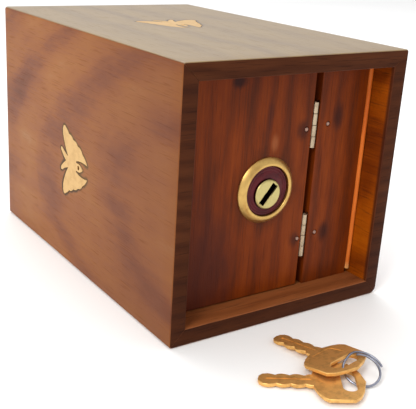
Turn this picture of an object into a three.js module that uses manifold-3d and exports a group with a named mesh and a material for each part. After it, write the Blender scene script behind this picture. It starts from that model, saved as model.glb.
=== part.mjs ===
// Wooden money box with a recessed, hinged end door, a cam lock, flush brass
// inlays and two keys on a wire ring. Millimetres, +Z up, the door end faces -Y.
// The origin is the middle of the underside of the box.
import * as THREE from 'three';
import { mergeVertices } from 'three/addons/utils/BufferGeometryUtils.js';
import Module from 'manifold-3d';

// ---- driving dimensions ----
const BOX_WIDTH = 100;
const BOX_HEIGHT = 100;
const BOX_LENGTH = 152;
const BOARD = 6.4; // board thickness
const ARRIS = 0.8; // chamfer on the four long outer edges
const RECESS = 10.5; // door face below the front rim
const PANEL = 6; // door, strip and back panel thickness
const BACK_INSET = 2;
const FIT = 0.3; // clearance left between pieces that are let into each other

const COIN_SLOT = { length: 45, width: 5 };

// The plug's axis is set below the barrel's, as it is in many small cam locks.
const LOCK = { x: -4.6, z: 49, plugDrop: 1.1, plugR: 5.75, barrelR: 9.5, ringR: 12.7, fit: 0.1 };
const RING_PROUD = 1.9;
const BARREL_PROUD = 0.9;
const PLUG_PROUD = 2.1;
const BARREL_BEHIND = 7.3; // barrel length behind the door
const KEYWAY = { length: 9, width: 2.6, depth: 14, tilt: 40 };
const NUT = { acrossFlats: 24, thick: 4 };
const CAM = { reach: 36, hubR: 6.5, tipR: 4.5, thick: 1.6, tail: 5 };
const BATTEN = 8; // keeper batten, square section

const HINGE = { x: 16.3, pinR: 0.5, boreR: 0.6, barrelR: 1.1, leaf: 0.6, leafWidth: 8 };
const HINGE_ZS = { upper: 71.7, lower: 27.5 };
const KNUCKLES = 4;
const KNUCKLE = { length: 4.2, gap: 0.2 };
const DOOR_SWING_GAP = 0.7; // free edge to the left board
const DOOR_EDGE_GAP = 0.5; // top and bottom edges to the boards
const DOOR_RIGHT = 15;
const STRIP_LEFT = 18.2;
const BEAD = { width: 2.1, proud: 1, short: 2 };

const INLAY = { thick: 1, pocket: 1.2, gap: 0.25, eyeR: 0.9 };

const NAIL = { headR: 0.8, head: 0.5, shankR: 0.45, length: 5, holeR: 0.75, sides: 12, proud: 0.1 };
const NAILS = {
  door: { upper: [12.8, 70.3], lower: [13.6, 26.5] },
  strip: { upper: [23.2, 71.5], lower: [22.4, 27.7] },
};
const SCREW = { shankR: 1.25, holeR: 1.4, headR: 3.4, head: 1.6, depth: 3 };

// Half widths are given for the blade and the bow; slotAt is the slot's distance from the key's tip.
const KEY = {
  thick: 1.3, length: 35.2, bow: 11.2, blade: 3.4, slot: 4.8, slotLength: 12, slotAt: 29.6,
};
// Each key leans on what lies under its bow: tip on the table, bow raised by this many degrees.
const KEYS = {
  key_under: { tip: [-35, -106.8], heading: -35, lift: 2.4 },
  key_over: { tip: [-11.8, -87.6], heading: -79, lift: 6.3 },
};
// The ring's wire runs from start to end degrees, and its free end is spread wider until merge.
const WIRE = {
  radius: 0.35, sides: 8, steps: 56, ring: 6.21, spread: 1.25, drop: 0.3,
  start: 103, merge: [180, 230], end: 545,
};
const RING = { middle: [-3.12, -121.64, 3.07], lean: 25.6, towards: -119 };

// ---- derived places ----
const SIDE = BOX_WIDTH / 2;
const INNER = SIDE - BOARD;
const FRONT = -BOX_LENGTH / 2;
const BACK = BOX_LENGTH / 2;
const FLOOR = BOARD;
const CEILING = BOX_HEIGHT - BOARD;
const DOOR_FACE = FRONT + RECESS;
const DOOR_BACK = DOOR_FACE + PANEL;
const DOOR_LEFT = -INNER + DOOR_SWING_GAP;
const HINGE_Y = DOOR_FACE + 0.4;
const LEAF_Y = HINGE_Y + HINGE.barrelR - HINGE.leaf;
const BATTEN_Y = DOOR_BACK + FIT;
const CAM_Y = BATTEN_Y + BATTEN + FIT;
const CAM_BACK = CAM_Y + CAM.thick;
const PLUG_Z = LOCK.z - LOCK.plugDrop;

const wasm = await Module();
wasm.setup();

// ---- materials ----
function material(colour, roughness, metalness) {
  return new THREE.MeshStandardMaterial({ color: colour, roughness, metalness });
}

const MATERIALS = {
  carcass: material(0xa06a48, 0.45, 0),
  door: material(0x74301a, 0.4, 0),
  inside: material(0x9a5a24, 0.5, 0),
  bead: material(0xc87838, 0.45, 0),
  brass: material(0xc8a04a, 0.3, 1),
  paleBrass: material(0xd2c682, 0.3, 1),
  inlay: material(0xe6c88c, 0.35, 1),
  barrel: material(0x5a2226, 0.5, 0),
  steel: material(0xb0aca0, 0.35, 1),
  keyBrass: material(0xb98432, 0.35, 1),
};

// ---- solids ----
function solidOf(geometry) {
  const bare = geometry.clone();
  bare.deleteAttribute('normal');
  bare.deleteAttribute('uv');
  const merged = mergeVertices(bare, 1e-4);
  return new wasm.Manifold(new wasm.Mesh({
    numProp: 3,
    vertProperties: new Float32Array(merged.attributes.position.array),
    triVerts: new Uint32Array(merged.index.array),
  }));
}

function geometryOf(solid) {
  const mesh = solid.getMesh();
  const geometry = new THREE.BufferGeometry();
  geometry.setAttribute('position', new THREE.BufferAttribute(mesh.vertProperties, 3));
  geometry.setIndex(new THREE.BufferAttribute(mesh.triVerts, 1));
  const flat = geometry.toNonIndexed();
  flat.computeVertexNormals();
  return flat;
}

function cut(base, tools) {
  const left = tools.reduce((solid, tool) => solid.subtract(solidOf(tool)), solidOf(base));
  return geometryOf(left);
}

function join(pieces) {
  const [first, ...rest] = pieces.map(solidOf);
  return geometryOf(rest.reduce((solid, piece) => solid.add(piece), first));
}

function block(x0, x1, y0, y1, z0, z1) {
  const box = new THREE.BoxGeometry(x1 - x0, y1 - y0, z1 - z0);
  return box.translate((x0 + x1) / 2, (y0 + y1) / 2, (z0 + z1) / 2);
}

// A round piece about the Y direction: [radius, y] pairs, placed over (x, z).
function turned(profile, x, z, sides = 48) {
  const points = profile.map(([r, y]) => new THREE.Vector2(r, y));
  return new THREE.LatheGeometry(points, sides).translate(x, 0, z);
}

function rodY(radius, y0, y1, x, z, sides) {
  return turned([[0, y0], [radius, y0], [radius, y1], [0, y1]], x, z, sides);
}

function rodZ(radius, z0, z1, x, y, sides) {
  const rod = new THREE.CylinderGeometry(radius, radius, z1 - z0, sides);
  return rod.rotateX(Math.PI / 2).translate(x, y, (z0 + z1) / 2);
}

function extruded(points, depth, holes = []) {
  const shape = new THREE.Shape(points);
  holes.forEach((hole) => shape.holes.push(new THREE.Path(hole)));
  return new THREE.ExtrudeGeometry(shape, { depth, bevelEnabled: false });
}

function circlePoints(x, y, radius, count) {
  return Array.from({ length: count }, (_, i) => {
    const angle = (2 * Math.PI * i) / count;
    return new THREE.Vector2(x + radius * Math.cos(angle), y + radius * Math.sin(angle));
  });
}

const moneyBox = new THREE.Group();

function place(name, geometry, look, parent = moneyBox) {
  const mesh = new THREE.Mesh(geometry, MATERIALS[look]);
  mesh.name = name;
  parent.add(mesh);
  return mesh;
}

// ---- brass inlay: a bird with spread wings, drawn as one half and mirrored ----
function inlayHalf() {
  const half = new THREE.Path();
  half.moveTo(-9.4, 0);
  half.quadraticCurveTo(-11.4, 1.2, -13.2, 2.8);
  half.bezierCurveTo(-14.8, 3.6, -14.4, 5.4, -13, 5);
  half.quadraticCurveTo(-10.4, 3.2, -7.2, 2.4);
  half.quadraticCurveTo(-10.6, 6, -12.2, 11);
  half.bezierCurveTo(-13, 14.6, -10.6, 16, -9, 14);
  const scallops = [
    [-8, 13.8, -6.2, 12], [-4, 12.4, -2.2, 10.4], [0.2, 10.8, 2, 8.8], [4.6, 9, 6.2, 6.6],
  ];
  for (const [bendX, bendY, endX, endY] of scallops) {
    half.quadraticCurveTo(bendX, bendY, endX, endY);
  }
  half.quadraticCurveTo(8.8, 5.4, 10.4, 2.9);
  half.quadraticCurveTo(5, 3.7, 0.6, 2.4);
  half.quadraticCurveTo(-0.4, 1.9, 0.8, 1.6);
  half.quadraticCurveTo(3.6, 2.4, 6.4, 0);
  return half.getPoints(4);
}

function inlayOutline() {
  const half = inlayHalf();
  const mirrored = half.slice(1, -1).reverse().map((point) => new THREE.Vector2(point.x, -point.y));
  return [...half, ...mirrored];
}

// Moves every corner of a closed outline outward along the mean of its two edge normals.
function grown(outline, distance) {
  const count = outline.length;
  const turn = THREE.ShapeUtils.area(outline) > 0 ? 1 : -1;
  return outline.map((point, i) => {
    const before = point.clone().sub(outline[(i + count - 1) % count]).normalize();
    const after = outline[(i + 1) % count].clone().sub(point).normalize();
    const mean = before.clone().add(after).normalize();
    const stretch = Math.min(1 / Math.max(mean.dot(after), 0.5), 1.6);
    return new THREE.Vector2(point.x + turn * mean.y * distance * stretch,
      point.y - turn * mean.x * distance * stretch);
  });
}

// Lays a flat shape, drawn with its length toward -Y, on a face with this outward normal.
function onFace(geometry, normal, origin) {
  const along = new THREE.Vector3(0, -1, 0);
  const across = new THREE.Vector3().crossVectors(normal, along);
  const basis = new THREE.Matrix4().makeBasis(along, across, normal).setPosition(origin);
  return geometry.applyMatrix4(basis);
}

const INLAY_FACES = {
  left: { normal: new THREE.Vector3(-1, 0, 0), origin: new THREE.Vector3(-SIDE, 0, 45) },
  top: { normal: new THREE.Vector3(0, 0, 1), origin: new THREE.Vector3(-0.5, 4.5, BOX_HEIGHT) },
  right: { normal: new THREE.Vector3(1, 0, 0), origin: new THREE.Vector3(SIDE, 0, 45) },
};

function inlayPlate({ normal, origin }) {
  const plate = extruded(inlayOutline(), INLAY.thick, [circlePoints(2.4, 0, INLAY.eyeR, 12)]);
  return onFace(plate.translate(0, 0, -INLAY.thick), normal, origin);
}

function inlayPocket({ normal, origin }) {
  const pocket = extruded(grown(inlayOutline(), INLAY.gap), INLAY.pocket + 1);
  return onFace(pocket.translate(0, 0, -INLAY.pocket), normal, origin);
}

// ---- carcass: four mitred boards round the opening ----
function boardSection() {
  const corners = [[SIDE - ARRIS, SIDE], [SIDE - ARRIS / 2, SIDE - ARRIS / 2], [INNER, INNER]];
  const right = corners.map(([across, up]) => new THREE.Vector2(across, up));
  const left = corners.map(([across, up]) => new THREE.Vector2(-across, up)).reverse();
  return [...left, ...right];
}

const BOARD_TURNS = { top: 0, left: 90, bottom: 180, right: 270 };

// The section stands in the XZ plane about the box's long axis, turned a quarter for each board.
function board(side) {
  const quarter = THREE.MathUtils.degToRad(BOARD_TURNS[side]);
  const cosine = Math.round(Math.cos(quarter));
  const sine = Math.round(Math.sin(quarter));
  const section = boardSection().map(({ x, y }) => (
    new THREE.Vector2(cosine * x - sine * y, sine * x + cosine * y)
  ));
  const raw = extruded(section, BOX_LENGTH).rotateX(Math.PI / 2);
  return raw.translate(0, BACK, BOX_HEIGHT / 2);
}

for (const side of Object.keys(BOARD_TURNS)) {
  const face = INLAY_FACES[side];
  place(`${side}_board`, face ? cut(board(side), [inlayPocket(face)]) : board(side), 'carcass');
}
for (const [side, face] of Object.entries(INLAY_FACES)) {
  place(`inlay_${side}`, inlayPlate(face), 'inlay');
}

const panelBack = BACK - BACK_INSET;
const coinHole = block(-COIN_SLOT.length / 2, COIN_SLOT.length / 2, panelBack - PANEL - 1, panelBack + 1,
  (BOX_HEIGHT - COIN_SLOT.width) / 2, (BOX_HEIGHT + COIN_SLOT.width) / 2);
const backBlank = block(-INNER, INNER, panelBack - PANEL, panelBack, FLOOR, CEILING);
place('back_panel', cut(backBlank, [coinHole]), 'carcass');

// ---- nails: one through each hinge leaf, driven in from the front ----
function nail(x, z) {
  const front = DOOR_FACE - NAIL.proud;
  const profile = [
    [0, front], [NAIL.headR * 0.7, front], [NAIL.headR, front + 0.2], [NAIL.headR, front + NAIL.head],
    [NAIL.shankR, front + NAIL.head], [NAIL.shankR, front + NAIL.length - 0.6], [0, front + NAIL.length],
  ];
  return turned(profile, x, z, NAIL.sides);
}

function nailHole(x, z) {
  return rodY(NAIL.holeR, DOOR_FACE - 1, DOOR_FACE + NAIL.length + FIT, x, z, NAIL.sides);
}

function nailRecess(x, z) {
  return rodY(NAIL.headR + FIT, DOOR_FACE - 1, DOOR_FACE + NAIL.head, x, z, NAIL.sides);
}

function nailCuts(panel) {
  return Object.values(NAILS[panel]).flatMap(([x, z]) => [nailHole(x, z), nailRecess(x, z)]);
}

// ---- hinges: a leaf in a saw kerf in each panel edge, knuckles turn about ----
const STACK = KNUCKLES * KNUCKLE.length + (KNUCKLES - 1) * KNUCKLE.gap;

function leafSpan(panel) {
  return panel === 'door'
    ? { inner: DOOR_RIGHT - HINGE.leafWidth, edge: DOOR_RIGHT, first: 0 }
    : { inner: STRIP_LEFT + HINGE.leafWidth, edge: STRIP_LEFT, first: 1 };
}

function leafKerf(panel, level) {
  const { inner, edge } = leafSpan(panel);
  const away = Math.sign(inner - edge);
  const x0 = Math.min(inner + away * FIT, edge - away);
  const x1 = Math.max(inner + away * FIT, edge - away);
  const z = HINGE_ZS[level];
  return block(x0, x1, LEAF_Y - FIT, LEAF_Y + HINGE.leaf + FIT, z - STACK / 2 - FIT, z + STACK / 2 + FIT);
}

function hingeLeaf(panel, level) {
  const { inner, edge, first } = leafSpan(panel);
  const top = HINGE_ZS[level] + STACK / 2;
  const leafBack = LEAF_Y + HINGE.leaf;
  const pieces = [block(Math.min(inner, edge), Math.max(inner, edge), LEAF_Y, leafBack, top - STACK, top)];
  for (let i = first; i < KNUCKLES; i += 2) {
    const high = top - i * (KNUCKLE.length + KNUCKLE.gap);
    const low = high - KNUCKLE.length;
    pieces.push(rodZ(HINGE.barrelR, low, high, HINGE.x, HINGE_Y, 24));
    pieces.push(block(Math.min(HINGE.x, edge), Math.max(HINGE.x, edge), LEAF_Y, leafBack, low, high));
  }
  const [nailX, nailZ] = NAILS[panel][level];
  const bore = rodZ(HINGE.boreR, top - STACK - 1, top + 1, HINGE.x, HINGE_Y, 16);
  return cut(join(pieces), [bore, nailHole(nailX, nailZ)]);
}

function hingePin(level) {
  const reach = STACK / 2 - 0.1;
  return rodZ(HINGE.pinR, HINGE_ZS[level] - reach, HINGE_ZS[level] + reach, HINGE.x, HINGE_Y, 16);
}

for (const level of Object.keys(HINGE_ZS)) {
  for (const panel of ['door', 'strip']) {
    place(`${level}_hinge_${panel}_leaf`, hingeLeaf(panel, level), 'steel');
    place(`${level}_${panel}_nail`, nail(...NAILS[panel][level]), 'steel');
  }
  place(`${level}_hinge_pin`, hingePin(level), 'steel');
}

// ---- door, fixed strip, bead and keeper batten ----
function panelWithHinges(panel, x0, x1, z0, z1) {
  const kerfs = Object.keys(HINGE_ZS).map((level) => leafKerf(panel, level));
  return cut(block(x0, x1, DOOR_FACE, DOOR_BACK, z0, z1), [...kerfs, ...nailCuts(panel)]);
}

const doorBottom = FLOOR + DOOR_EDGE_GAP;
const doorTop = CEILING - DOOR_EDGE_GAP;
const blankDoor = panelWithHinges('door', DOOR_LEFT, DOOR_RIGHT, doorBottom, doorTop);
const lockHole = rodY(LOCK.barrelR + LOCK.fit, DOOR_FACE - 1, DOOR_BACK + 1, LOCK.x, LOCK.z, 48);
place('door_panel', cut(blankDoor, [lockHole]), 'door');

const beadLeft = INNER - BEAD.width;
place('fixed_strip', panelWithHinges('strip', STRIP_LEFT, beadLeft, FLOOR, CEILING), 'door');

function beadSection() {
  const section = new THREE.Path();
  section.moveTo(beadLeft, DOOR_BACK);
  section.lineTo(beadLeft, DOOR_FACE);
  section.quadraticCurveTo((beadLeft + INNER) / 2, DOOR_FACE - 2 * BEAD.proud, INNER, DOOR_FACE);
  section.lineTo(INNER, DOOR_BACK);
  return section.getPoints(6);
}

const bead = extruded(beadSection(), CEILING - FLOOR - BEAD.short).translate(0, 0, FLOOR + BEAD.short);
place('corner_bead', bead, 'bead');
const batten = block(-INNER, -INNER + BATTEN, BATTEN_Y, BATTEN_Y + BATTEN, FLOOR, CEILING);
place('keeper_batten', batten, 'inside');

// ---- lock: a front ring and a back nut clamp the barrel; the plug turns the cam ----
const ringBore = LOCK.barrelR + LOCK.fit;
const ringFront = DOOR_FACE - RING_PROUD;
const ringProfile = [
  [ringBore, DOOR_FACE], [ringBore, ringFront + 0.3], [ringBore + 0.2, ringFront],
  [ringBore + 0.8, ringFront], [LOCK.ringR - 0.5, DOOR_FACE - 0.9], [LOCK.ringR, DOOR_FACE - 0.5],
  [LOCK.ringR, DOOR_FACE], [ringBore, DOOR_FACE],
];
place('lock_ring', turned(ringProfile, LOCK.x, LOCK.z), 'brass');

const barrelFront = DOOR_FACE - BARREL_PROUD;
const barrelBack = DOOR_BACK + BARREL_BEHIND;
const barrelBlank = rodY(LOCK.barrelR, barrelFront, barrelBack, LOCK.x, LOCK.z, 48);
const plugBore = rodY(LOCK.plugR + LOCK.fit, barrelFront - 1, barrelBack + 1, LOCK.x, PLUG_Z, 48);
place('lock_barrel', cut(barrelBlank, [plugBore]), 'barrel');

function lockNut() {
  const hexagon = circlePoints(LOCK.x, LOCK.z, NUT.acrossFlats / 2 / Math.cos(Math.PI / 6), 6);
  const raw = extruded(hexagon, NUT.thick).rotateX(Math.PI / 2).translate(0, DOOR_BACK + NUT.thick, 0);
  return cut(raw, [rodY(ringBore, DOOR_BACK - 1, DOOR_BACK + NUT.thick + 1, LOCK.x, LOCK.z, 48)]);
}

place('lock_nut', lockNut(), 'brass');

const plugFront = DOOR_FACE - PLUG_PROUD;
const plugBack = CAM_Y - LOCK.fit;

function lockPlug() {
  const body = turned([[0, plugFront], [LOCK.plugR - 0.5, plugFront], [LOCK.plugR, plugFront + 0.5],
    [LOCK.plugR, plugBack], [0, plugBack]], LOCK.x, PLUG_Z, 32);
  const half = CAM.tail / 2;
  const tail = block(LOCK.x - half, LOCK.x + half, plugBack - 1, CAM_BACK, PLUG_Z - half, PLUG_Z + half);
  const keyway = new THREE.BoxGeometry(KEYWAY.width, KEYWAY.depth + 1, KEYWAY.length);
  keyway.rotateY(THREE.MathUtils.degToRad(KEYWAY.tilt));
  keyway.translate(LOCK.x, plugFront + (KEYWAY.depth - 1) / 2, PLUG_Z);
  const screwHole = rodY(SCREW.holeR, plugBack - SCREW.depth + 1, CAM_BACK + 1, LOCK.x, PLUG_Z, 16);
  return cut(join([body, tail]), [keyway, screwHole]);
}

place('lock_plug', lockPlug(), 'paleBrass');

// The cam hangs down when the lock is open; a quarter turn swings its tip behind the batten.
function lockCam() {
  const outline = [];
  const arcs = [[0, CAM.hubR, 0], [-(CAM.reach - CAM.tipR), CAM.tipR, Math.PI]];
  for (const [z, radius, start] of arcs) {
    for (let i = 0; i <= 12; i += 1) {
      const angle = start + (Math.PI * i) / 12;
      const x = LOCK.x + radius * Math.cos(angle);
      outline.push(new THREE.Vector2(x, PLUG_Z + z + radius * Math.sin(angle)));
    }
  }
  const plate = extruded(outline, CAM.thick).rotateX(Math.PI / 2).translate(0, CAM_BACK, 0);
  const half = CAM.tail / 2 + LOCK.fit;
  const square = block(LOCK.x - half, LOCK.x + half, CAM_Y - 1, CAM_BACK + 1, PLUG_Z - half, PLUG_Z + half);
  return cut(plate, [square]);
}

place('lock_cam', lockCam(), 'steel');

const screwTip = plugBack - SCREW.depth + 1.5;
const screwTop = CAM_BACK + SCREW.head;
const screwProfile = [
  [0, screwTip], [SCREW.shankR, screwTip], [SCREW.shankR, CAM_BACK], [SCREW.headR, CAM_BACK],
  [SCREW.headR, CAM_BACK + SCREW.head * 0.6], [SCREW.headR * 0.7, screwTop], [0, screwTop],
];
place('cam_screw', turned(screwProfile, LOCK.x, PLUG_Z, 24), 'steel');

// ---- keys: two alike, lying one on the other in front of the door, slots threaded by the ring ----
function keyOutline() {
  const { blade, bow, length } = KEY;
  const half = new THREE.Path();
  half.moveTo(0, 0);
  half.quadraticCurveTo(0, blade, 3.4, blade);
  for (const wave of [5.8, 10.6, 15.4]) {
    half.quadraticCurveTo(wave - 1, blade - 0.2, wave, blade - 0.8);
    half.quadraticCurveTo(wave + 1.2, blade + 0.1, wave + 2.4, blade);
  }
  half.quadraticCurveTo(19.4, bow - 1, 22, bow);
  half.lineTo(30.4, bow - 0.3);
  half.quadraticCurveTo(33.6, bow - 2, length, 0);
  const points = half.getPoints(3);
  const mirrored = points.slice(1, -1).reverse().map((point) => new THREE.Vector2(point.x, -point.y));
  return [...points, ...mirrored];
}

function keySlot() {
  const radius = KEY.slot / 2;
  const straight = KEY.slotLength / 2 - radius;
  const slot = new THREE.Path();
  slot.absarc(KEY.slotAt, straight, radius, 0, Math.PI);
  slot.absarc(KEY.slotAt, -straight, radius, Math.PI, 2 * Math.PI);
  return slot.getPoints(6);
}

for (const [name, { tip, heading, lift }] of Object.entries(KEYS)) {
  const lying = new THREE.Group();
  lying.position.set(tip[0], tip[1], 0);
  lying.rotation.set(0, -THREE.MathUtils.degToRad(lift), THREE.MathUtils.degToRad(heading), 'ZYX');
  moneyBox.add(lying);
  place(name, extruded(keyOutline(), KEY.thick, [keySlot()]), 'keyBrass', lying);
}

// One turn and a quarter of spring wire; the free end stands off the turn inside it.
class RingWire extends THREE.Curve {
  getPoint(t) {
    const degrees = THREE.MathUtils.lerp(WIRE.start, WIRE.end, t);
    const spread = 1 - THREE.MathUtils.smoothstep(degrees, ...WIRE.merge);
    const radius = WIRE.ring + WIRE.spread * spread;
    const angle = THREE.MathUtils.degToRad(degrees);
    return new THREE.Vector3(radius * Math.cos(angle), radius * Math.sin(angle), -WIRE.drop * spread);
  }
}

const leaning = new THREE.Group();
leaning.position.set(...RING.middle);
leaning.rotation.set(0, THREE.MathUtils.degToRad(RING.lean), THREE.MathUtils.degToRad(RING.towards), 'ZYX');
moneyBox.add(leaning);
const wireSection = new THREE.Shape(circlePoints(0, 0, WIRE.radius, WIRE.sides));
const wireSweep = { steps: WIRE.steps, extrudePath: new RingWire(), bevelEnabled: false };
place('split_ring', new THREE.ExtrudeGeometry(wireSection, wireSweep), 'steel', leaning);

export default moneyBox;
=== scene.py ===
import math

import bmesh
import bpy
from mathutils import Matrix, Vector, noise
from mathutils.geometry import intersect_point_line


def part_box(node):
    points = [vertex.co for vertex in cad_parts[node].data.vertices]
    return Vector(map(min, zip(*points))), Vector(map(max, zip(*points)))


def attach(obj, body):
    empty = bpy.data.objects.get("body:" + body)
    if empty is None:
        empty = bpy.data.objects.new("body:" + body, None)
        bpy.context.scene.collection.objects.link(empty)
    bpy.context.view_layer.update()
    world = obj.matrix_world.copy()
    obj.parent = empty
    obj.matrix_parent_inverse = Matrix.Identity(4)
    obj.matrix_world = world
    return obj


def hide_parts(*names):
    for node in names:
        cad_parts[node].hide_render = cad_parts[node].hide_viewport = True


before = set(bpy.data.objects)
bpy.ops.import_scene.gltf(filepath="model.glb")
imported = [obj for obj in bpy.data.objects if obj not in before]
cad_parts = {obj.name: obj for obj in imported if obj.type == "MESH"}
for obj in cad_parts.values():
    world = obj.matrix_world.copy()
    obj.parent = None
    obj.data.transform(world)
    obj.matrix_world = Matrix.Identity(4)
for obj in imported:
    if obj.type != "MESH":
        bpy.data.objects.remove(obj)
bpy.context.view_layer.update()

MM = 0.001
MERGE = 2e-6  # corners closer than this are one corner
AXIS_HOLE = 0.02 * MM  # a turned solid stops just short of its own axis
COLLECTION = bpy.context.scene.collection

# ---- places, all from the frame ----
BOARD_NAMES = ("top", "left", "bottom", "right")
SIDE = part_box("right_board")[1].x
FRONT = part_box("top_board")[0].y
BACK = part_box("top_board")[1].y
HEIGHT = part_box("top_board")[1].z
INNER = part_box("back_panel")[1].x
MIDDLE_Z = HEIGHT / 2
DOOR_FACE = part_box("door_panel")[0].y
BEAD_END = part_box("corner_bead")[0].z
RING_LOW, RING_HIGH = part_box("lock_ring")
BARREL_LOW, BARREL_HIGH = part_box("lock_barrel")
PLUG_LOW, PLUG_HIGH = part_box("lock_plug")
LOCK_X = (RING_LOW.x + RING_HIGH.x) / 2
LOCK_Z = (RING_LOW.z + RING_HIGH.z) / 2
PLUG_Z = (PLUG_LOW.z + PLUG_HIGH.z) / 2
RING_R = (RING_HIGH.x - RING_LOW.x) / 2
BARREL_R = (BARREL_HIGH.x - BARREL_LOW.x) / 2
PLUG_R = (PLUG_HIGH.x - PLUG_LOW.x) / 2
BORE_GAP = 0.1 * MM


# ---- mesh helpers ----
def mesh_object(name, points, faces):
    mesh = bpy.data.meshes.new(name)
    mesh.from_pydata([tuple(p) for p in points], [], faces)
    made = bpy.data.objects.new(name, mesh)
    COLLECTION.objects.link(made)
    tidy_mesh(mesh)
    return made


def tidy_mesh(mesh):
    work = bmesh.new()
    work.from_mesh(mesh)
    bmesh.ops.recalc_face_normals(work, faces=work.faces)
    work.to_mesh(mesh)
    work.free()
    mesh.update()


def shade(obj, sharp_degrees=38):
    obj.data.polygons.foreach_set("use_smooth", [True] * len(obj.data.polygons))
    obj.data.set_sharp_from_angle(angle=math.radians(sharp_degrees))


def carve(obj, tool):
    """Cuts tool's solid out of obj for good, and removes tool."""
    cutter = obj.modifiers.new("carve", "BOOLEAN")
    cutter.operation = "DIFFERENCE"
    cutter.solver = "EXACT"
    cutter.object = tool
    ready = obj.evaluated_get(bpy.context.evaluated_depsgraph_get())
    cut = bpy.data.meshes.new_from_object(ready)
    obj.modifiers.clear()
    obj.data = cut
    bpy.data.objects.remove(tool)


def lathe(name, profile, x, z, sides=96):
    """A solid turned about the Y direction from a closed (radius, y) profile."""
    points = []
    for i in range(sides):
        turn = 2 * math.pi * i / sides
        points += [(x + r * math.cos(turn), y, z + r * math.sin(turn)) for r, y in profile]
    count = len(profile)
    faces = []
    for i in range(sides):
        here, there = i * count, (i + 1) % sides * count
        for j in range(count):
            k = (j + 1) % count
            faces.append((here + j, here + k, there + k, there + j))
    return mesh_object(name, points, faces)


def tube_faces(rings, count):
    """Faces of a capped tube whose points come ring after ring, count points to a ring."""
    faces = []
    for i in range(rings - 1):
        for j in range(count):
            k = (j + 1) % count
            faces.append((i * count + j, i * count + k, (i + 1) * count + k, (i + 1) * count + j))
    faces.append(tuple(range(count)))
    faces.append(tuple(range((rings - 1) * count, rings * count)))
    return faces


def face_loops(node, normal):
    """The closed outlines of a CAD node's flat face that looks along normal, longest first."""
    work = bmesh.new()
    work.from_mesh(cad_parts[node].data)
    bmesh.ops.remove_doubles(work, verts=work.verts, dist=MERGE)
    normal = Vector(normal).normalized()
    flat = {f for f in work.faces if f.normal.dot(normal) > 0.999}
    rim = {e for e in work.edges if sum(f in flat for f in e.link_faces) == 1}
    loops = []
    while rim:
        edge = rim.pop()
        start, at = edge.verts
        loop = [start.co.copy()]
        while at is not start:
            loop.append(at.co.copy())
            edge = next(e for e in at.link_edges if e in rim)
            rim.discard(edge)
            at = edge.other_vert(at)
        loops.append(loop)
    work.free()
    return sorted(loops, key=lambda points: -sum((a - b).length for a, b in zip(points, points[1:])))


def turned_area(loop, normal):
    return sum(a.cross(b).dot(normal) for a, b in zip(loop, loop[1:] + loop[:1])) / 2


def grown(loop, normal, distance):
    """Moves each point of a flat closed outline outward."""
    way = 1 if turned_area(loop, normal) > 0 else -1
    moved = []
    for i, point in enumerate(loop):
        before = (point - loop[i - 1]).normalized()
        after = (loop[(i + 1) % len(loop)] - point).normalized()
        mean = (before + after).normalized()
        stretch = min(1 / max(mean.dot(after), 0.5), 1.6)
        moved.append(point + mean.cross(normal) * (way * distance * stretch))
    return moved


def prism(name, loop, normal, low, high):
    """A solid with the outline loop, from low to high along normal."""
    count = len(loop)
    points = [p + normal * low for p in loop] + [p + normal * high for p in loop]
    faces = [tuple(range(count)), tuple(range(count, 2 * count))]
    faces += [(i, (i + 1) % count, (i + 1) % count + count, i + count) for i in range(count)]
    return mesh_object(name, points, faces)


def bevelled_plate(name, loops, normal, thick, bevel):
    """A flat plate under its top outlines, with a small bevel round every edge."""
    work = bmesh.new()
    caps = {0: [], 3: []}
    for index, loop in enumerate(loops):
        inward = -bevel if index == 0 else bevel
        tucked = grown(loop, normal, inward)
        levels = [(tucked, 0), (loop, -bevel), (loop, bevel - thick), (tucked, -thick)]
        rings = [[work.verts.new(p + normal * h) for p in ring] for ring, h in levels]
        for upper, lower in zip(rings, rings[1:]):
            for i in range(len(upper)):
                k = (i + 1) % len(upper)
                work.faces.new((upper[i], upper[k], lower[k], lower[i]))
        for level in caps:
            ring = rings[level]
            caps[level] += [work.edges.get((ring[i - 1], ring[i])) for i in range(len(ring))]
    for edges in caps.values():
        bmesh.ops.triangle_fill(work, edges=edges, use_beauty=True)
    bmesh.ops.recalc_face_normals(work, faces=work.faces)
    mesh = bpy.data.meshes.new(name)
    work.to_mesh(mesh)
    work.free()
    made = bpy.data.objects.new(name, mesh)
    COLLECTION.objects.link(made)
    return made


# ---- shader helpers ----
def node(tree, kind, inputs=None, **settings):
    made = tree.nodes.new(kind)
    for key, value in settings.items():
        setattr(made, key, value)
    for key, value in (inputs or {}).items():
        if isinstance(value, bpy.types.NodeSocket):
            tree.links.new(value, made.inputs[key])
        else:
            made.inputs[key].default_value = value
    return made


def maths(tree, operation, a, b=0.0, clamp=False):
    made = node(tree, "ShaderNodeMath", {0: a, 1: b}, operation=operation, use_clamp=clamp)
    return made.outputs[0]


def vector_maths(tree, operation, *inputs):
    return node(tree, "ShaderNodeVectorMath", dict(enumerate(inputs)), operation=operation)


def mix(tree, factor, a, b):
    made = node(tree, "ShaderNodeMix", {0: factor, 6: a, 7: b}, data_type="RGBA")
    return made.outputs[2]


def ramp(tree, factor, stops):
    made = node(tree, "ShaderNodeValToRGB", {0: factor})
    elements = made.color_ramp.elements
    while len(elements) < len(stops):
        elements.new(0.5)
    for element, (place, colour) in zip(elements, stops):
        element.position = place
        element.color = colour
    return made.outputs[0]


def band(tree, value, low, high):
    """0 before low, 1 after high, smooth between."""
    made = node(tree, "ShaderNodeMapRange", {0: value, 1: low, 2: high}, interpolation_type="SMOOTHSTEP")
    return made.outputs[0]


def grain_noise(tree, place, stretch, scale, detail=4.0, roughness=0.6):
    lengthened = node(tree, "ShaderNodeMapping", {"Vector": place, "Scale": stretch}).outputs[0]
    made = node(tree, "ShaderNodeTexNoise", {
        "Vector": lengthened, "Scale": scale, "Detail": detail, "Roughness": roughness})
    return made.outputs[0]


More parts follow.
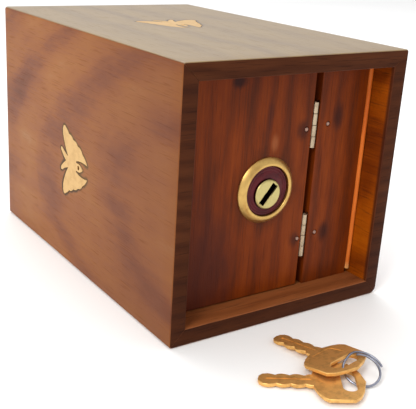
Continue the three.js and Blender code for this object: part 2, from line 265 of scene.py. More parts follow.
def linear(level):
    """The linear share of an 8-bit sRGB level."""
    share = level / 255
    return share / 12.92 if share <= 0.04045 else ((share + 0.055) / 1.055) ** 2.4


def srgb(red, green, blue):
    return (linear(red), linear(green), linear(blue), 1.0)


def new_material(name):
    material = bpy.data.materials.new(name)
    material.use_nodes = True
    tree = material.node_tree
    tree.nodes.clear()
    shader = node(tree, "ShaderNodeBsdfPrincipled")
    output = node(tree, "ShaderNodeOutputMaterial")
    tree.links.new(shader.outputs[0], output.inputs[0])
    place = node(tree, "ShaderNodeTexCoord").outputs["Object"]
    return material, tree, shader, place


def add_bump(tree, shader, height, depth, strength):
    bump = node(tree, "ShaderNodeBump", {"Height": height, "Distance": depth, "Strength": strength})
    tree.links.new(bump.outputs[0], shader.inputs["Normal"])


# A noise's scale along each axis, small where it is drawn out: fibres and brush marks, then clouds.
AXES = {"x": (0.035, 1.0, 1.0), "y": (1.0, 0.035, 1.0), "z": (1.0, 1.0, 0.035)}
CLOUD_AXES = {"x": (0.45, 1.0, 1.0), "y": (1.0, 0.45, 1.0), "z": (1.0, 1.0, 0.45)}
EVEN = (1, 1, 1)

# Noise scales of wood and metal, per metre.
DRIFT_SCALE = 22.0
CLOUD_SCALE = 60.0
BLOTCH_SCALE = 70.0
FIBRE_SCALE = 1100.0
DASH_SCALE = 2300.0
BRUSH_SCALE = 3600.0
PIT_SCALE = 1500.0

CREST_MEAN = 0.375  # the mean of a squared half cosine, so that the rings don't change the mean tone
LINES_PER_RING = 3.0


def centred(tree, value, share):
    """A noise value moved to the middle and scaled."""
    return maths(tree, "MULTIPLY", maths(tree, "SUBTRACT", value, 0.5), share)


def wood(name, colours, pore, along, figure, roughness, gloss, contrast,
         pores=0.45, spots=(), cloudy=0.6):
    """Sawn and polished wood, with growth rings, clouds, fibres and open pores.

    figure is (centre of the rings, tilt about X, stretch, first dark ring, ring spacing, wander).
    """
    material, tree, shader, place = new_material(name)
    centre, tilt, stretch, first_dark, spacing, wander = figure
    drift = grain_noise(tree, place, EVEN, DRIFT_SCALE, 2.0, 0.5)
    clouds = grain_noise(tree, place, CLOUD_AXES[along], CLOUD_SCALE, 4.0, 0.6)
    blotch = grain_noise(tree, place, AXES[along], BLOTCH_SCALE, 3.0, 0.55)
    fibres = grain_noise(tree, place, AXES[along], FIBRE_SCALE, 5.0, 0.7)
    dashes = grain_noise(tree, place, AXES[along], DASH_SCALE, 2.0, 0.5)

    turned = node(tree, "ShaderNodeMapping", {
        "Vector": place, "Location": centre, "Rotation": (math.radians(tilt), 0, 0), "Scale": stretch,
    }, vector_type="TEXTURE").outputs[0]
    reach = vector_maths(tree, "LENGTH", turned).outputs["Value"]
    bent = maths(tree, "ADD", reach, centred(tree, drift, wander))
    bent = maths(tree, "DIVIDE", maths(tree, "SUBTRACT", bent, first_dark), spacing)
    crest = maths(tree, "COSINE", maths(tree, "MULTIPLY", bent, 2 * math.pi))
    crest = maths(tree, "POWER", maths(tree, "ADD", maths(tree, "MULTIPLY", crest, 0.5), 0.5), 2.0)
    wave = maths(tree, "MULTIPLY", maths(tree, "SUBTRACT", crest, CREST_MEAN), -2 * contrast)
    lines = node(tree, "ShaderNodeTexNoise", {
        "W": maths(tree, "MULTIPLY", bent, LINES_PER_RING), "Scale": 1.0, "Detail": 3.0, "Roughness": 0.6,
    }, noise_dimensions="1D").outputs[0]

    tone = maths(tree, "MULTIPLY", wave, maths(tree, "MULTIPLY", drift, 2.0))
    tone = maths(tree, "ADD", tone, centred(tree, lines, contrast * 2.0))
    tone = maths(tree, "ADD", tone, centred(tree, clouds, cloudy))
    tone = maths(tree, "ADD", tone, centred(tree, blotch, 0.7))
    tone = maths(tree, "ADD", tone, centred(tree, fibres, 0.5))
    tone = maths(tree, "ADD", tone, 0.5, clamp=True)
    count = len(colours) - 1
    colour = ramp(tree, tone, [(i / count, c) for i, c in enumerate(colours)])

    holes = band(tree, dashes, 0.56, 0.7)
    colour = mix(tree, maths(tree, "MULTIPLY", holes, pores), colour, pore)

    # Soft spots mixed into the colour: marks on the wood, and painted shade round the lock ring and down
    # the door's left edge.
    for spot_place, spot_size, spot_colour, spot_share in spots:
        shift = vector_maths(tree, "SUBTRACT", place, spot_place).outputs[0]
        scaled = vector_maths(tree, "MULTIPLY", shift, tuple(1 / s for s in spot_size)).outputs[0]
        away = maths(tree, "ADD", vector_maths(tree, "LENGTH", scaled).outputs["Value"],
                     centred(tree, clouds, 1.2))
        near = maths(tree, "SUBTRACT", 1.0, band(tree, away, 0.25, 1.1))
        colour = mix(tree, maths(tree, "MULTIPLY", near, spot_share), colour, spot_colour)

    stain = node(tree, "ShaderNodeAttribute", attribute_name="stain").outputs["Fac"]
    filler = ramp(tree, drift, [(0.35, srgb(62, 42, 14)), (0.65, srgb(104, 74, 24))])
    colour = mix(tree, stain, colour, filler)
    tree.links.new(colour, shader.inputs["Base Color"])

    rough = maths(tree, "ADD", centred(tree, fibres, 0.22), roughness)
    rough = maths(tree, "ADD", rough, maths(tree, "MULTIPLY", holes, 0.15), clamp=True)
    tree.links.new(rough, shader.inputs["Roughness"])
    shader.inputs["Specular IOR Level"].default_value = gloss
    raised = maths(tree, "MULTIPLY", fibres, 0.5)
    height = maths(tree, "SUBTRACT", raised, maths(tree, "MULTIPLY", holes, 0.7))
    add_bump(tree, shader, height, 0.06 * MM, 0.8)
    return material


def metal(name, light, dark, roughness, brush, brush_share, grime, metallic=1.0, depth=0.02, patch=260.0):
    """Worn metal with cloudy tarnish, small pits and fine brushing along one axis."""
    material, tree, shader, place = new_material(name)
    cloud = grain_noise(tree, place, EVEN, patch, 4.0, 0.6)
    lines = grain_noise(tree, place, AXES[brush], BRUSH_SCALE, 3.0, 0.6)
    pits = grain_noise(tree, place, EVEN, PIT_SCALE, 3.0, 0.6)
    tone = maths(tree, "MULTIPLY", band(tree, cloud, 0.42, 0.7), grime)
    tone = maths(tree, "ADD", tone, centred(tree, lines, 0.5), clamp=True)
    tree.links.new(mix(tree, tone, light, dark), shader.inputs["Base Color"])
    rough = maths(tree, "ADD", maths(tree, "MULTIPLY", cloud, 0.2), roughness - 0.1)
    tree.links.new(rough, shader.inputs["Roughness"])
    shader.inputs["Metallic"].default_value = metallic
    brushed = maths(tree, "MULTIPLY", lines, brush_share)
    height = maths(tree, "ADD", brushed, maths(tree, "MULTIPLY", pits, 0.5))
    add_bump(tree, shader, height, depth * MM, 0.7)
    return material


def tint_along(material, axis, start, end, colour, share):
    """Turns the base colour toward another between two places along an axis."""
    tree = material.node_tree
    shader = tree.nodes["Principled BSDF"]
    place = node(tree, "ShaderNodeTexCoord").outputs["Object"]
    at = node(tree, "ShaderNodeSeparateXYZ", {0: place}).outputs[axis]
    before = shader.inputs["Base Color"].links[0].from_socket
    after = mix(tree, maths(tree, "MULTIPLY", band(tree, at, start, end), share), before, colour)
    tree.links.new(after, shader.inputs["Base Color"])


# ---- materials ----
def palette(*levels):
    """Colours from dark to light."""
    return [srgb(*level) for level in levels]


CARCASS_COLOURS = palette((94, 50, 28), (117, 66, 40), (138, 82, 42), (148, 92, 44), (154, 108, 70))
# The top's colours are paler and greyer than the sides': painted sheen, the glare off the top put into
# its colour.
TOP_COLOURS_PAINTED_SHEEN = palette((104, 76, 42), (120, 92, 48), (134, 106, 56), (144, 117, 70))
DOOR_COLOURS = palette((58, 25, 12), (84, 34, 9), (108, 43, 6), (126, 54, 8), (134, 70, 20))
INSIDE_COLOURS = palette((88, 32, 4), (128, 56, 4), (156, 74, 4), (178, 96, 8))
LEDGE_COLOURS = palette((106, 56, 26), (132, 74, 38), (148, 88, 48))
RIM_COLOURS = palette((48, 22, 12), (67, 33, 16), (86, 46, 24))
BEAD_COLOURS = palette((176, 82, 26), (204, 100, 30), (216, 124, 52))
PORE = srgb(50, 24, 16)

# Growth rings: the side's figure points away from the door end in long arcs, the others are straighter.
LONG = 1000
FIGURES = {
    "top": ((0.16, 0, 0), 0, (1, 3, LONG), 0.004, 0.021, 0.020),
    "left": ((0, -0.190, 0.060), -7, (LONG, 3.2, 1), 0.050, 0.018, 0.012),
    "bottom": ((-0.12, 0.02, 0), 0, (1, 4, LONG), 0.004, 0.018, 0.020),
    "right": ((0, 0.180, 0.030), -6, (LONG, 2.7, 1), 0.044, 0.018, 0.012),
}
OUTER = {
    side: wood(f"{side}_polished_wood", CARCASS_COLOURS, PORE, "y", FIGURES[side],
               0.45, 0.16, 0.15, 0.14, cloudy=0.8)
    for side in ("left", "right", "bottom")
}
# Top board wood with a coat; its paler colours are painted sheen.
OUTER["top"] = wood("top_wood_painted_sheen", TOP_COLOURS_PAINTED_SHEEN, PORE, "y", FIGURES["top"], 0.42, 0.75, 0.14, 0.18)
top_shader = OUTER["top"].node_tree.nodes["Principled BSDF"]
top_shader.inputs["Coat Weight"].default_value = 0.4
top_shader.inputs["Coat Roughness"].default_value = 0.38
# Painted shade: the left and right sides darken towards the door end, where less light falls.
for side in ("left", "right"):
    tint_along(OUTER[side], "Y", 0.030, FRONT, srgb(92, 46, 22), 0.45)
UPRIGHT = ((0.30, 0, 0.05), 0, (1, LONG, 8), 0.0, 0.0085, 0.012)
SIDEWAYS = ((0, 0.20, 0.05), 0, (LONG, 5, 1), 0.0, 0.011, 0.016)
DARK_SPOT = srgb(34, 14, 14)
SPOT_DEPTH = 0.01


def spot_on_face(x, z, half_width, half_height, colour, share):
    """A soft spot of colour on the front face of the door or the strip, fading out at its edge: marks on
    the wood, and painted shade.
    """
    return Vector((x, DOOR_FACE, z)), (half_width, SPOT_DEPTH, half_height), colour, share


DOOR_SPOTS = [
    spot_on_face(-0.0340, 0.0180, 0.0200, 0.0340, srgb(66, 30, 26), 0.7),
    # A small dark spot just under the door's top edge.
    spot_on_face(-0.0200, 0.0905, 0.0035, 0.0030, DARK_SPOT, 0.85),
    spot_on_face(-0.0050, 0.0775, 0.0020, 0.0110, srgb(54, 24, 20), 0.5),
    # Painted shadow: a narrow dark band down the door's left edge, where the left board shades it.
    spot_on_face(-0.0405, 0.0500, 0.0040, 0.0480, srgb(66, 28, 32), 0.55),
    spot_on_face(-0.0020, 0.0665, 0.0022, 0.0042, srgb(168, 104, 64), 0.35),
    spot_on_face(0.0108, 0.0703, 0.0036, 0.0046, DARK_SPOT, 0.6),
    spot_on_face(0.0116, 0.0265, 0.0036, 0.0046, DARK_SPOT, 0.6),
]
STRIP_SPOTS = [
    spot_on_face(0.0280, 0.0740, 0.0042, 0.0075, DARK_SPOT, 0.7),
    spot_on_face(0.0265, 0.0275, 0.0036, 0.0060, DARK_SPOT, 0.7),
]
RING_SHADE = spot_on_face(LOCK_X, LOCK_Z, 0.0170, 0.0170, srgb(52, 26, 12), 0.8)
LOOKS = {
    "door_panel": wood("door_polished_wood", DOOR_COLOURS, PORE, "z", UPRIGHT, 0.42, 0.10, 0.09, 0.3,
                       [RING_SHADE] + DOOR_SPOTS, 0.9),
    "fixed_strip": wood("strip_polished_wood", DOOR_COLOURS, PORE, "z", UPRIGHT, 0.42, 0.10, 0.09, 0.3,
                        STRIP_SPOTS, 0.9),
    "back_panel": wood("back_polished_wood", CARCASS_COLOURS, PORE, "z",
                       ((0.2, 0, 0.05), 0, (1, LONG, 6), 0.0, 0.020, 0.020), 0.45, 0.16, 0.12),
    "keeper_batten": wood("batten_plain_wood", INSIDE_COLOURS, PORE, "z", UPRIGHT, 0.6, 0.3, 0.2),
}
INSIDE = wood("inside_bright_wood", INSIDE_COLOURS, srgb(50, 18, 6), "y", SIDEWAYS,
              0.45, 0.12, 0.22, 0.4)
# Painted shadow: the inside faces turn dark along their front edge, where the rounded inner arris is in
# shade.
tint_along(INSIDE, "Y", FRONT + 2.2 * MM, FRONT + 0.8 * MM, srgb(58, 26, 14), 0.85)
LEDGE = wood("inside_ledge_wood", LEDGE_COLOURS, PORE, "x",
             ((0, 0.1, 0), 0, (8, 1, LONG), 0.0, 0.009, 0.01), 0.45, 0.16, 0.2)
RIM = wood("rim_end_grain", RIM_COLOURS, srgb(30, 14, 10), "x",
           ((0, 0, 0.3), 0, (5, LONG, 1), 0.0, 0.006, 0.012), 0.6, 0.06, 0.12, 0.4)
BEAD_WOOD = wood("bead_varnished_wood", BEAD_COLOURS, srgb(130, 56, 16), "z", UPRIGHT,
                 0.4, 0.15, 0.2, 0.25)
tint_along(BEAD_WOOD, "Z", BEAD_END + 4 * MM, BEAD_END, srgb(226, 170, 104), 0.75)
INLAY_BRASS = metal("inlay_brushed_brass", srgb(214, 176, 116), srgb(178, 136, 82),
                    0.42, "y", 0.4, 0.35)
RING_BRASS = metal("ring_polished_brass", srgb(208, 170, 100), srgb(158, 118, 66),
                   0.36, "z", 0.3, 0.45)
PLUG_BRASS = metal("plug_satin_brass", srgb(198, 184, 124), srgb(166, 146, 92), 0.42, "z", 0.6, 0.3)
KEY_BRASS = metal("key_worn_brass", srgb(242, 190, 112), srgb(150, 98, 42),
                  0.42, "x", 0.5, 0.4, metallic=0.8, depth=0.06, patch=380.0)
STEEL = metal("hinge_plated_steel", srgb(190, 172, 146), srgb(120, 100, 80), 0.4, "z", 0.4, 0.5)
NAIL_STEEL = metal("nail_dull_steel", srgb(172, 140, 126), srgb(104, 76, 66), 0.5, "z", 0.2, 0.6)
WIRE_STEEL = metal("ring_spring_steel", srgb(150, 153, 168), srgb(70, 73, 88), 0.3, "z", 0.3, 0.5)
LACQUER = metal("barrel_maroon_lacquer", srgb(86, 24, 30), srgb(52, 14, 20),
                0.36, "z", 0.2, 0.6, metallic=0.1)
LACQUER.node_tree.nodes["Principled BSDF"].inputs["Specular IOR Level"].default_value = 0.2
# Painted shadow: the plug's side turns dark just behind its front face, a ring of shade round the plug
# where it stands out of the barrel.
tint_along(PLUG_BRASS, "Y", PLUG_LOW.y + 0.25 * MM, PLUG_LOW.y + 0.6 * MM, srgb(58, 20, 22), 1.0)


def give(obj, *materials):
    obj.data.materials.clear()
    for material in materials:
        obj.data.materials.append(material)


# ---- the four mitred boards ----
ARRIS_STEPS = 4
ARRIS_DEGREES = 45
END_ROUND = 0.6 * MM
END_TURNS = (90, 60, 30)
FLAT_LIMIT = SIDE - 3.2 * MM
BEYOND = 2 * BACK  # a fine span past the end of the board is no fine span
SAME_PLACE = 1e-9
CLEAR_OF_ROUND = 1e-5
POCKET_GAP = 0.22 * MM
POCKET_DEPTH = 1.2 * MM
CUT_ABOVE = 1 * MM
STAIN_REACH = 2.6 * MM
HAIRLINE = 0.05 * MM
FINE = 0.5 * MM
COARSE = 7 * MM
QUARTERS = {"top": 0, "left": 1, "bottom": 2, "right": 3}
NORMALS = {"top": Vector((0, 0, 1)), "left": Vector((-1, 0, 0)), "right": Vector((1, 0, 0))}


def arris_radius(corner, y):
    """Hand-sanded corner radius along the box. Corner 3, lower right, is worn rounder at the door end."""
    wobble = noise.noise(Vector((corner * 7.1, y * 28, 0.3)))
    worn = max(0.0, 1 - (y - FRONT) / (22 * MM)) if corner == 3 else 0.0
    return (1.1 + 0.25 * wobble + 1.9 * worn * worn) * MM


def steps_between(low, high, fine_low, fine_high):
    """Coarse places from low to high, fine ones inside the fine span."""
    places, at = [low], low
    while at < high - SAME_PLACE:
        step = FINE if fine_low - FINE <= at < fine_high else COARSE
        at = min(high, at + step, fine_low if at < fine_low - SAME_PLACE else high)
        places.append(at)
    return places


def corner_arc(side_sign, radius, inset, start):
    """Half of a rounded corner of the section, turning clockwise from start degrees."""
    centre = SIDE - radius
    points = []
    for i in range(ARRIS_STEPS + 1):
        turn = math.radians(start - ARRIS_DEGREES * i / ARRIS_STEPS)
        across = side_sign * centre + (radius - inset) * math.cos(turn)
        points.append((across, centre + (radius - inset) * math.sin(turn)))
    return points


def board_ring(side, acrosses, y, inset):
    """The board's section at y, as points (across, up) about the long axis, outer side first."""
    quarter = QUARTERS[side]
    left_round = arris_radius((quarter + 1) % 4, y)
    right_round = arris_radius(quarter, y)
    low = -SIDE + left_round + CLEAR_OF_ROUND
    high = SIDE - right_round - CLEAR_OF_ROUND
    ring = corner_arc(-1, left_round, inset, 135)
    ring += [(min(max(across, low), high), SIDE - inset) for across in acrosses]
    ring += corner_arc(1, right_round, inset, 90)
    ring.append((INNER + inset, INNER + inset))
    ring.append((-INNER - inset, INNER + inset))
    for index, way in ((0, 1), (-3, -1), (-2, -1), (-1, 1)):
        across, up = ring[index]
        ring[index] = (across + way * HAIRLINE, up)
    return ring


def fine_spans(side, cosine, sine):
    """The spans across and along the board that hold its inlay, with a margin."""
    if side not in NORMALS:
        return (BEYOND, BEYOND), (BEYOND, BEYOND)
    margin = Vector((3, 3, 3)) * MM
    low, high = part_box(f"inlay_{side}")
    low, high = low - margin, high + margin
    centre = (low + high) / 2 - Vector((0, 0, MIDDLE_Z))
    half = (high - low) / 2
    centre_across = centre.x * cosine + centre.z * sine
    reach = half.x * abs(cosine) + half.z * abs(sine)
    return (centre_across - reach, centre_across + reach), (low.y, high.y)


def board_mesh(side):
    turn = QUARTERS[side] * math.pi / 2
    cosine, sine = round(math.cos(turn)), round(math.sin(turn))
    fine_across, fine_along = fine_spans(side, cosine, sine)
    acrosses = steps_between(-FLAT_LIMIT, FLAT_LIMIT, *fine_across)
    ys = steps_between(FRONT + END_ROUND, BACK - END_ROUND, *fine_along)
    turns = [math.radians(degrees) for degrees in END_TURNS]
    front = [(FRONT + END_ROUND * (1 - math.sin(t)), END_ROUND * (1 - math.cos(t))) for t in turns]
    back = [(FRONT + BACK - y, inset) for y, inset in reversed(front)]
    stations = front + [(y, 0.0) for y in ys] + back
    points = []
    for y, inset in stations:
        for across, up in board_ring(side, acrosses, y, inset):
            points.append((cosine * across - sine * up, y, MIDDLE_Z + sine * across + cosine * up))
    count = len(points) // len(stations)
    return mesh_object(f"{side}_board_wood", points, tube_faces(len(stations), count))


def stain_round(obj, loop, normal):
    """Marks the dark filler that was rubbed in round an inlay, wider here and narrower there."""
    edges = list(zip(loop, loop[1:] + loop[:1]))
    low = Vector(min(p[i] for p in loop) - STAIN_REACH for i in range(3))
    high = Vector(max(p[i] for p in loop) + STAIN_REACH for i in range(3))
    marks = obj.data.attributes.new("stain", "FLOAT", "POINT")
    for vertex, mark in zip(obj.data.vertices, marks.data):
        at = vertex.co
        if not all(low[i] <= at[i] <= high[i] for i in range(3)):
            continue
        away = STAIN_REACH
        for a, b in edges:
            nearest, share = intersect_point_line(at, a, b)
            nearest = a if share < 0 else b if share > 1 else nearest
            away = min(away, (at - nearest).length)
        width = (0.85 + 0.65 * noise.noise(at * 260)) * MM
        mark.value = max(0.0, min(1.0, (width + 0.35 * MM - away) / (0.5 * MM)))


def inner_material(obj):
    """Faces of the opening get the brighter inside wood, and the two ends the end grain."""
    inside = 1
    rim = 2
    end_on = 0.8
    for face in obj.data.polygons:
        at = face.center
        at_front = face.normal.y < -end_on and at.y < FRONT + MM
        at_back = face.normal.y > end_on and at.y > BACK - MM
        if at_front or at_back:
            face.material_index = rim
        elif max(abs(at.x), abs(at.z - MIDDLE_Z)) < INNER + 0.9 * MM:
            face.material_index = inside


for side in BOARD_NAMES:
    board = board_mesh(side)
    if side in NORMALS:
        normal = NORMALS[side]
        outline = face_loops(f"inlay_{side}", normal)[0]
        pocket = prism("pocket", grown(outline, normal, POCKET_GAP), normal, -POCKET_DEPTH, CUT_ABOVE)
        carve(board, pocket)
        stain_round(board, outline, normal)
    give(board, OUTER[side], LEDGE if side == "bottom" else INSIDE, RIM)
    inner_material(board)
    shade(board, 30)
    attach(board, "carcass")
    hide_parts(f"{side}_board")


# ---- corner bead: bent a little along its length, cut off short of the bottom board ----
def bead_mesh():
    low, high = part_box("corner_bead")
    levels = 44
    arc = 8
    proud = 0.98 * MM
    first_rise = 0.08
    points = []
    for i in range(levels + 1):
        z = low.z + (high.z - low.z) * i / levels
        bow = (0.12 + 0.22 * noise.noise(Vector((0, 0, z * 60)))) * MM
        left = low.x + bow
        lift = (0.1 * noise.noise(Vector((3, 0, z * 90)))) * MM
        points.append((left, high.y, z))
        for k in range(arc + 1):
            share = k / arc
            turn = math.pi * (first_rise + (1 - first_rise) * share)
            rise = math.sin(turn) ** 0.7 if k < arc else 0
            points.append((left + (high.x - left) * share, DOOR_FACE - (proud - lift) * rise * 0.95, z))
        points.append((high.x, high.y, z))
    return mesh_object("bead_moulding", points, tube_faces(levels + 1, arc + 3))


bead = bead_mesh()
give(bead, BEAD_WOOD)
shade(bead, 45)
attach(bead, "carcass")
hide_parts("corner_bead")


# ---- lock ring and barrel, turned ----
def ring_profile():
    """A rounded lip round the bore, then a bowl-shaped face that falls away to the rim."""
    front = RING_LOW.y
    bore = BARREL_R + BORE_GAP
    lip = 0.35 * MM
    lip_steps = 4
    points = [(bore, DOOR_FACE), (bore, front + lip)]
    for k in range(1, lip_steps + 1):
        turn = math.pi / 2 * k / lip_steps
        points.append((bore + lip * (1 - math.cos(turn)), front + lip * (1 - math.sin(turn))))
    shoulder = bore + 0.95 * MM
    outer = RING_R - 0.15 * MM
    outer_y = DOOR_FACE - 0.45 * MM
    swell = 0.08 * MM
    fall = 1.35
    face_steps = 8
    for k in range(face_steps + 1):
        share = k / face_steps
        crown = math.sin(math.pi * share) * swell
        y = front + (outer_y - front) * share ** fall - crown
        points.append((shoulder + (outer - shoulder) * share, y))
    points += [(RING_R, outer_y + 0.2 * MM), (RING_R, DOOR_FACE)]
    return points


def barrel_profile():
    """A plain rod with two fine turned grooves in its face and a chamfered edge."""
    front, back = BARREL_LOW.y, BARREL_HIGH.y
    points = [(AXIS_HOLE, back), (AXIS_HOLE, front)]
    groove_depth, groove_half = 0.16 * MM, 0.22 * MM
    for share in (0.80, 0.90):
        radius = BARREL_R * share
        points.append((radius - groove_half, front))
        points.append((radius, front + groove_depth))
        points.append((radius + groove_half, front))
    chamfer = 0.3 * MM
    points += [(BARREL_R - chamfer, front), (BARREL_R, front + chamfer), (BARREL_R, back)]
    return points


def bore_profile():
    radius = PLUG_R + BORE_GAP
    start, end = BARREL_LOW.y - MM, BARREL_HIGH.y + MM
    return [(AXIS_HOLE, start), (radius, start), (radius, end), (AXIS_HOLE, end)]


for name, profile, look, slot, replaced in [
        ("lock_ring_turned", ring_profile(), RING_BRASS, "lock_brass", "lock_ring"),
        ("lock_barrel_turned", barrel_profile(), LACQUER, "barrel_paint", "lock_barrel")]:
    part = lathe(name, profile, LOCK_X, LOCK_Z)
    if replaced == "lock_barrel":
        carve(part, lathe("bore", bore_profile(), LOCK_X, PLUG_Z))
    give(part, look)
    shade(part, 40)
    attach(part, "door")
    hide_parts(replaced)


# ---- keys: bevelled blanks with a milled blade and a sunk bow panel ----
KEY_BODIES = {"key_under": "key_a", "key_over": "key_b"}
KEY_BEVEL = 0.2 * MM
# Cuts in the upper face, in mm along the key from its tip and across it: corners, corner radius, depth.
KEY_CUTS = {
    "panel": ([(19.6, -5.2), (25.2, -6.6), (25.2, 6.6), (19.6, 5.2)], 1.2, 0.10),
    "groove": ([(2.6, -0.5), (17.4, -0.5), (17.4, 0.5), (2.6, 0.5)], 0.4, 0.18),
}


def key_normal(name):
    """Upward normal of the key's largest flat face."""
    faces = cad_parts[name].data.polygons
    widest = max((f for f in faces if f.normal.z > 0), key=lambda f: f.area)
    return widest.normal.normalized()


def key_tool(name, placed, corners, normal, depth):
    """The solid that cuts one hollow of the key, placed by its tip and its two directions."""
    origin, along, across = placed
    loop = [origin + along * (a * MM) + across * (c * MM) for a, c in corners]
    return prism(name, loop, normal, -depth, CUT_ABOVE)


def rounded(corners, radius, steps=5):
    """The corners of a convex outline, each replaced by a short curve."""
    points = []
    for i, corner in enumerate(corners):
        here = Vector(corner)
        before = (Vector(corners[i - 1]) - here).normalized() * radius
        after = (Vector(corners[(i + 1) % len(corners)]) - here).normalized() * radius
        for k in range(steps + 1):
            t = k / steps
            points.append((here + before * (1 - t) ** 2 + after * t ** 2).to_tuple())
    return points


for name, body in KEY_BODIES.items():
    normal = key_normal(name)
    loops = face_loops(name, normal)
    slot_middle = sum(loops[1], Vector()) / len(loops[1])
    tip = max(loops[0], key=lambda p: (p - slot_middle).length)
    along = (slot_middle - tip).normalized()
    placed = (tip, along, normal.cross(along))
    heights = [v.co.dot(normal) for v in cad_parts[name].data.vertices]
    blank = bevelled_plate(f"{name}_brass", loops, normal, max(heights) - min(heights), KEY_BEVEL)
    for cut, (corners, radius, depth) in KEY_CUTS.items():
        carve(blank, key_tool(cut, placed, rounded(corners, radius), normal, depth * MM))
    give(blank, KEY_BRASS)
    shade(blank, 35)
    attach(blank, body)
    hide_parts(name)

# ---- CAD nodes that keep their shape ----
SOFTENED = {
    "inlay_left": (INLAY_BRASS, 0.1), "inlay_top": (INLAY_BRASS, 0.1), "inlay_right": (INLAY_BRASS, 0.1),
    "lock_plug": (PLUG_BRASS, 0.15), "lock_nut": (RING_BRASS, 0.25), "lock_cam": (STEEL, 0.2),
    "cam_screw": (STEEL, 0.1),
    "door_panel": (LOOKS["door_panel"], 0.25), "fixed_strip": (LOOKS["fixed_strip"], 0.2),
    "back_panel": (LOOKS["back_panel"], 0.3), "keeper_batten": (LOOKS["keeper_batten"], 0.4),
}
for level in ("upper", "lower"):
    for piece in ("hinge_door_leaf", "hinge_strip_leaf", "hinge_pin"):
        SOFTENED[f"{level}_{piece}"] = (STEEL, 0.08)
    for piece in ("door_nail", "strip_nail"):
        SOFTENED[f"{level}_{piece}"] = (NAIL_STEEL, 0.08)


def soften(obj, width):
    """Joins the split corners of a CAD mesh, then rounds its edges a little, as modifiers only."""
    if "custom_normal" in obj.data.attributes:
        obj.data.attributes.remove(obj.data.attributes["custom_normal"])
    obj.data.polygons.foreach_set("use_smooth", [True] * len(obj.data.polygons))
    weld = obj.modifiers.new("weld", "WELD")
    weld.merge_threshold = MERGE
    rounding = obj.modifiers.new("rounding", "BEVEL")
    rounding.width = width * MM
    rounding.segments = 2
    rounding.limit_method = "ANGLE"
    rounding.angle_limit = math.radians(40)
    weighted = obj.modifiers.new("weighted", "WEIGHTED_NORMAL")
    weighted.keep_sharp = True


for name, (look, width) in SOFTENED.items():
    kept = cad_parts[name]
    give(kept, look)
    soften(kept, width)

# ---- key ring: round wire along the middle of the CAD wire ----
WIRE_R = 0.41 * MM


def wire_line(name):
    """Middle points of a CAD wire from one cut end to the other, one ring of corners at a time."""
    work = bmesh.new()
    work.from_mesh(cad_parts[name].data)
    bmesh.ops.remove_doubles(work, verts=work.verts, dist=MERGE)
    cap_edges = {e for e in work.edges if e.calc_face_angle(0) > 1}
    work.verts.ensure_lookup_table()
    layer = {min((v for e in cap_edges for v in e.verts), key=lambda v: v.index)}
    grew = True
    while grew:
        more = {e.other_vert(v) for v in layer for e in v.link_edges if e in cap_edges}
        grew = not more <= layer
        layer |= more
    seen, middles = set(layer), []
    while layer:
        middles.append(sum((v.co for v in layer), Vector()) / len(layer))
        layer = {e.other_vert(v) for v in layer for e in v.link_edges} - seen
        seen |= layer
    work.free()
    return middles


wire_curve = bpy.data.curves.new("split_ring_wire", "CURVE")
wire_curve.dimensions = "3D"
wire_curve.bevel_depth = WIRE_R
wire_curve.bevel_resolution = 4
wire_curve.resolution_u = 3
wire_curve.use_fill_caps = True
line = wire_line("split_ring")
spline = wire_curve.splines.new("NURBS")
spline.points.add(len(line) - 1)
for point, place in zip(spline.points, line):
    point.co = (*place, 1)
spline.order_u = 4
spline.use_endpoint_u = True
wire = bpy.data.objects.new("split_ring_wire", wire_curve)
COLLECTION.objects.link(wire)
give(wire, WIRE_STEEL)
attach(wire, "key_ring")
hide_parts("split_ring")

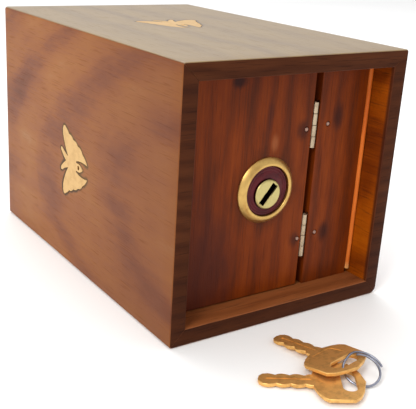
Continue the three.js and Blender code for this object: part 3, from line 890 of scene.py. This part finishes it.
# ---- floor, light and camera ----
FLOOR_HALF = 4.0
FLOOR_Z = -0.2 * MM  # just under the base, so that the two faces don't share a plane
FLOOR_SIGNS = [(-1, -1), (1, -1), (1, 1), (-1, 1)]
floor_corners = [(x * FLOOR_HALF, y * FLOOR_HALF, FLOOR_Z) for x, y in FLOOR_SIGNS]
floor = mesh_object("studio_floor", floor_corners, [(0, 1, 2, 3)])
floor_look, _, floor_shader, _ = new_material("studio_white")
floor_shader.inputs["Base Color"].default_value = (0.97, 0.97, 0.97, 1)
floor_shader.inputs["Roughness"].default_value = 0.9
floor_shader.inputs["Specular IOR Level"].default_value = 0.1
give(floor, floor_look)

world = bpy.data.worlds.new("studio")
world.use_nodes = True
world.node_tree.nodes["Background"].inputs["Color"].default_value = (1.0, 1.0, 1.0, 1)
world.node_tree.nodes["Background"].inputs["Strength"].default_value = 0.85
bpy.context.scene.world = world
bpy.context.scene.view_settings.view_transform = "Standard"

TARGET = Vector((0, -0.03, 0.045))


def softbox(name, azimuth, elevation, distance, size, power, colour=(1, 1, 1)):
    light = bpy.data.lights.new(name, "AREA")
    light.shape = "DISK"
    light.size = size
    light.energy = power
    light.color = colour
    lamp = bpy.data.objects.new(name, light)
    COLLECTION.objects.link(lamp)
    a, e = math.radians(azimuth), math.radians(elevation)
    away = Vector((math.sin(a) * math.cos(e), -math.cos(a) * math.cos(e), math.sin(e)))
    lamp.location = TARGET + away * distance
    lamp.rotation_mode = "QUATERNION"
    lamp.rotation_quaternion = (-away).to_track_quat("-Z", "Y")


softbox("key", -62, 38, 1.0, 0.35, 4.5, (1.0, 0.97, 0.92))
softbox("overhead", 170, 62, 1.2, 1.0, 7.0)

VIEW_TURN = math.radians(33.68)
VIEW_DROP = math.radians(19.17)
VIEW_ROLL = math.radians(3.06)
CAMERA_PLACE = Vector((-0.1823, -0.2794, 0.1408))
camera_data = bpy.data.cameras.new("camera")
camera_data.lens = 68.55
camera_data.sensor_width = 36
camera_data.shift_x = 0.055
camera_data.shift_y = -0.018
camera_data.clip_start = 0.01
camera = bpy.data.objects.new("camera", camera_data)
COLLECTION.objects.link(camera)
flat_share = math.cos(VIEW_DROP)
ahead = Vector((math.sin(VIEW_TURN) * flat_share, math.cos(VIEW_TURN) * flat_share, -math.sin(VIEW_DROP)))
level_right = ahead.cross(Vector((0, 0, 1))).normalized()
level_up = level_right.cross(ahead)
right = level_right * math.cos(VIEW_ROLL) + level_up * math.sin(VIEW_ROLL)
facing = Matrix((right, right.cross(ahead), -ahead)).transposed()
camera.matrix_world = Matrix.Translation(CAMERA_PLACE) @ facing.to_4x4()
bpy.context.scene.camera = camera
